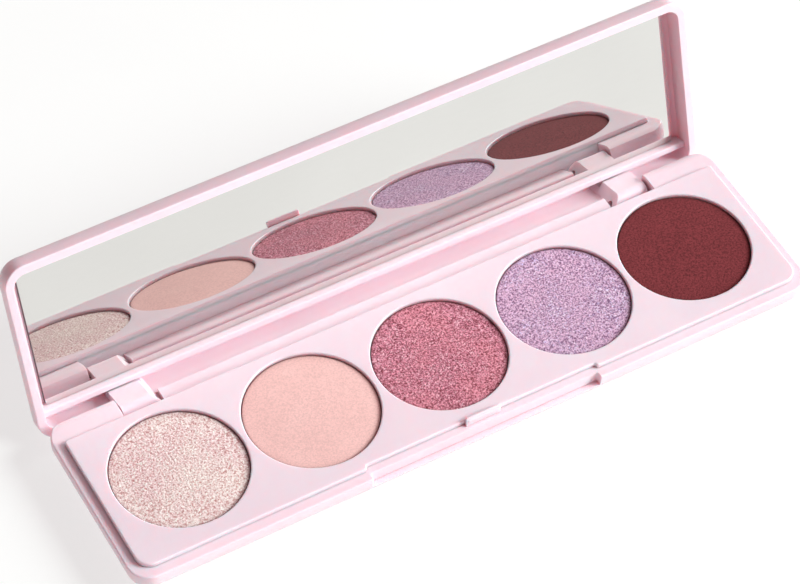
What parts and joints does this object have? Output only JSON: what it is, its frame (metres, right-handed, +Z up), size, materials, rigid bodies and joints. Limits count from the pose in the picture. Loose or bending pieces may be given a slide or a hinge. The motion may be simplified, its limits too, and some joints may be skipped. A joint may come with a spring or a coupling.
{
  "type": "eyeshadow palette",
  "caption": "Slim hinged eyeshadow palette with round pans of pressed powder in a raised deck and a full-width mirror inside the lid.",
  "frame": {"origin": "on the table plane, under the centre of the base", "axes": "+X along the row of pans, to the right of the user; +Y towards the hinge; +Z up"},
  "size_m": [0.1468, 0.0571, 0.0378],
  "materials": {
    "casing": "satin",
    "mirror": "polished",
    "tape": "matte",
    "glue": "matte",
    "pin": "drawn wire",
    "pan": "stamped",
    "powder_1": "champagne shimmer",
    "powder_2": "matte pressed powder",
    "powder_3": "rose shimmer",
    "powder_4": "lilac shimmer",
    "powder_5": "matte pressed powder"
  },
  "bodies": {
    "base": {"base_shell": "casing", "deck_insert": "casing", "hinge_pin_left": "pin", "hinge_pin_right": "pin", "glue_disc_1": "glue", "pan_1": "pan", "powder_1": "powder_1", "glue_disc_2": "glue", "pan_2": "pan", "powder_2": "powder_2", "glue_disc_3": "glue", "pan_3": "pan", "powder_3": "powder_3", "glue_disc_4": "glue", "pan_4": "pan", "powder_4": "powder_4", "glue_disc_5": "glue", "pan_5": "pan", "powder_5": "powder_5"},
    "lid": {"lid_shell": "casing", "mirror_glass": "mirror", "mirror_tape": "tape"}
  },
  "joints": [
    {"name": "lid_hinge", "type": "hinge", "parent": "base", "child": "lid", "pos_m": [0, 0.0177, 0.0037], "axis": [1, 0, 0], "range_deg": [0, 109]}
  ]
}
